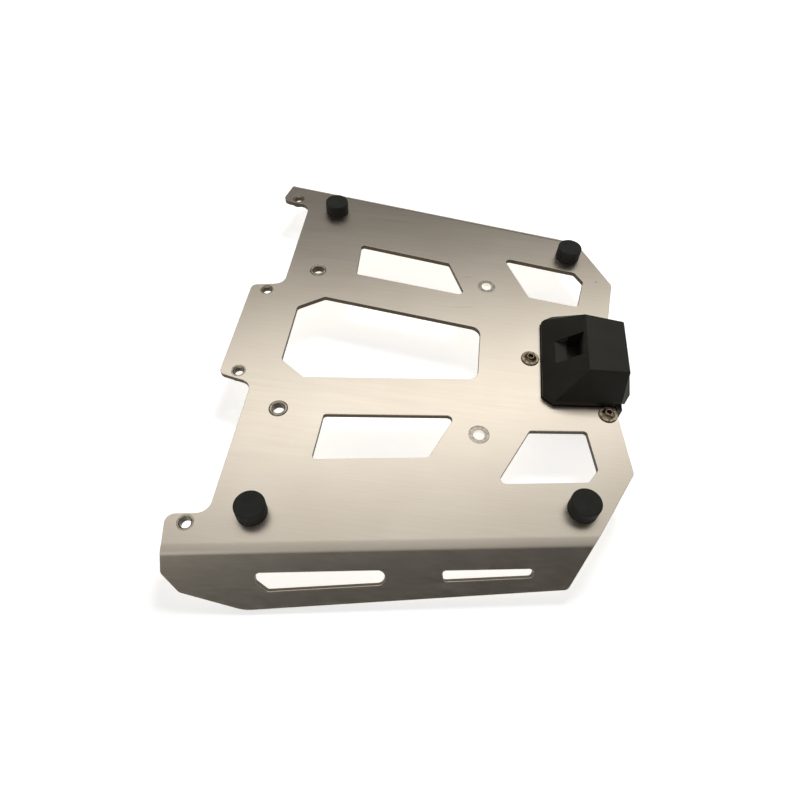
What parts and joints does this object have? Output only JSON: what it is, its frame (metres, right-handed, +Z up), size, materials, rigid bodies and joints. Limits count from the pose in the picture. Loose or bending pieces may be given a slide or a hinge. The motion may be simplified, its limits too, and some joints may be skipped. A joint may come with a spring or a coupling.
{
  "type": "top case bracket",
  "caption": "Bent and cut metal rack plate with side flanges, windows, rubber buffers and a moulded latch block that a motorbike's top case sits on and locks to.",
  "frame": {"origin": "middle of the box, on the surface that the flanges' lower edges stand on", "axes": "+X to the back of the motorbike, +Y to its right, +Z up"},
  "size_m": [0.3002, 0.407, 0.0579],
  "materials": {
    "plate_aluminium": "brushed along the motorbike, cut edges plain",
    "block_plastic": "fine moulded grain",
    "rubber": "matte moulded rubber",
    "screw_steel": "stainless steel, a little tarnished",
    "insert_steel": "turned stainless steel",
    "zinc_steel": "zinc plated steel"
  },
  "bodies": {
    "root": {"block_nut_front": "zinc_steel", "block_nut_left": "zinc_steel", "block_nut_right": "zinc_steel", "block_screw_front": "screw_steel", "block_screw_left": "screw_steel", "block_screw_right": "screw_steel", "buffer_front_left": "rubber", "buffer_front_right": "rubber", "buffer_nut_front_left": "zinc_steel", "buffer_nut_front_right": "zinc_steel", "buffer_nut_rear_left": "zinc_steel", "buffer_nut_rear_right": "zinc_steel", "buffer_rear_left": "rubber", "buffer_rear_right": "rubber", "buffer_stud_front_left": "zinc_steel", "buffer_stud_front_right": "zinc_steel", "buffer_stud_rear_left": "zinc_steel", "buffer_stud_rear_right": "zinc_steel", "ear_insert_left": "insert_steel", "ear_insert_right": "insert_steel", "front_bush_left": "insert_steel", "front_bush_right": "insert_steel", "latch_block": "block_plastic", "rack_plate": "plate_aluminium", "tongue_insert_left": "insert_steel", "tongue_insert_right": "insert_steel"}
  },
  "joints": []
}
